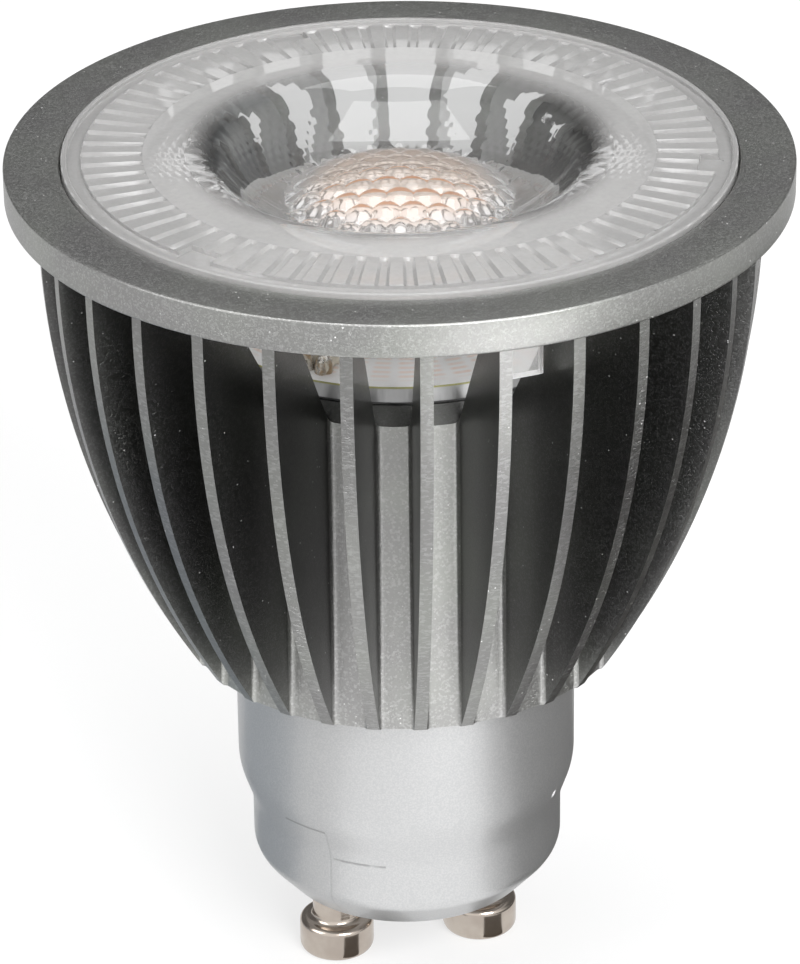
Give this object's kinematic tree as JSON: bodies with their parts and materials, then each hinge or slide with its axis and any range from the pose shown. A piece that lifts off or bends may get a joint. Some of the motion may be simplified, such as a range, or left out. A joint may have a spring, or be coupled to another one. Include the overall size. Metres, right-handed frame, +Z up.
{
  "type": "gu10 spotlight bulb",
  "caption": "Reflector-shaped LED spotlight bulb with a finned aluminium heat sink, a clear lens and a twist-lock base with contact pins.",
  "frame": {"origin": "midway between the undersides of the two contact pins", "axes": "+Z up along the lamp's axis to the lens, +X along the line of the two pins"},
  "size_m": [0.05, 0.05, 0.0585],
  "materials": {
    "sink_aluminium": "satin",
    "clear_lens": "clear",
    "white_board": "satin",
    "white_ceramic": "matte",
    "orange_phosphor": "matte",
    "grey_pad": "matte",
    "silver_plastic": "satin",
    "pin_nickel": "polished",
    "screw_steel": "satin",
    "green_board": "satin",
    "dark_ferrite": "matte",
    "winding_tape": "gloss",
    "can_sleeve": "gloss",
    "chip_black": "matte",
    "fuse_coating": "satin",
    "brown_wire": "satin",
    "blue_wire": "satin",
    "white_wire": "satin"
  },
  "bodies": {
    "root": {"heat_sink": "sink_aluminium", "lens": "clear_lens", "led_board": "white_board", "led_package": "white_ceramic", "led_phosphor": "orange_phosphor", "thermal_pad": "grey_pad", "base_housing": "silver_plastic", "contact_pin_left": "pin_nickel", "contact_pin_right": "pin_nickel", "board_screws": "screw_steel", "housing_screws": "screw_steel", "driver_board": "green_board", "transformer_core": "dark_ferrite", "transformer_winding": "winding_tape", "input_capacitor": "can_sleeve", "output_capacitor": "can_sleeve", "choke": "dark_ferrite", "bridge_rectifier": "chip_black", "controller_chip": "chip_black", "fuse_resistor": "fuse_coating", "live_wire": "brown_wire", "neutral_wire": "blue_wire", "led_wire_positive": "white_wire", "led_wire_negative": "white_wire"}
  },
  "joints": []
}
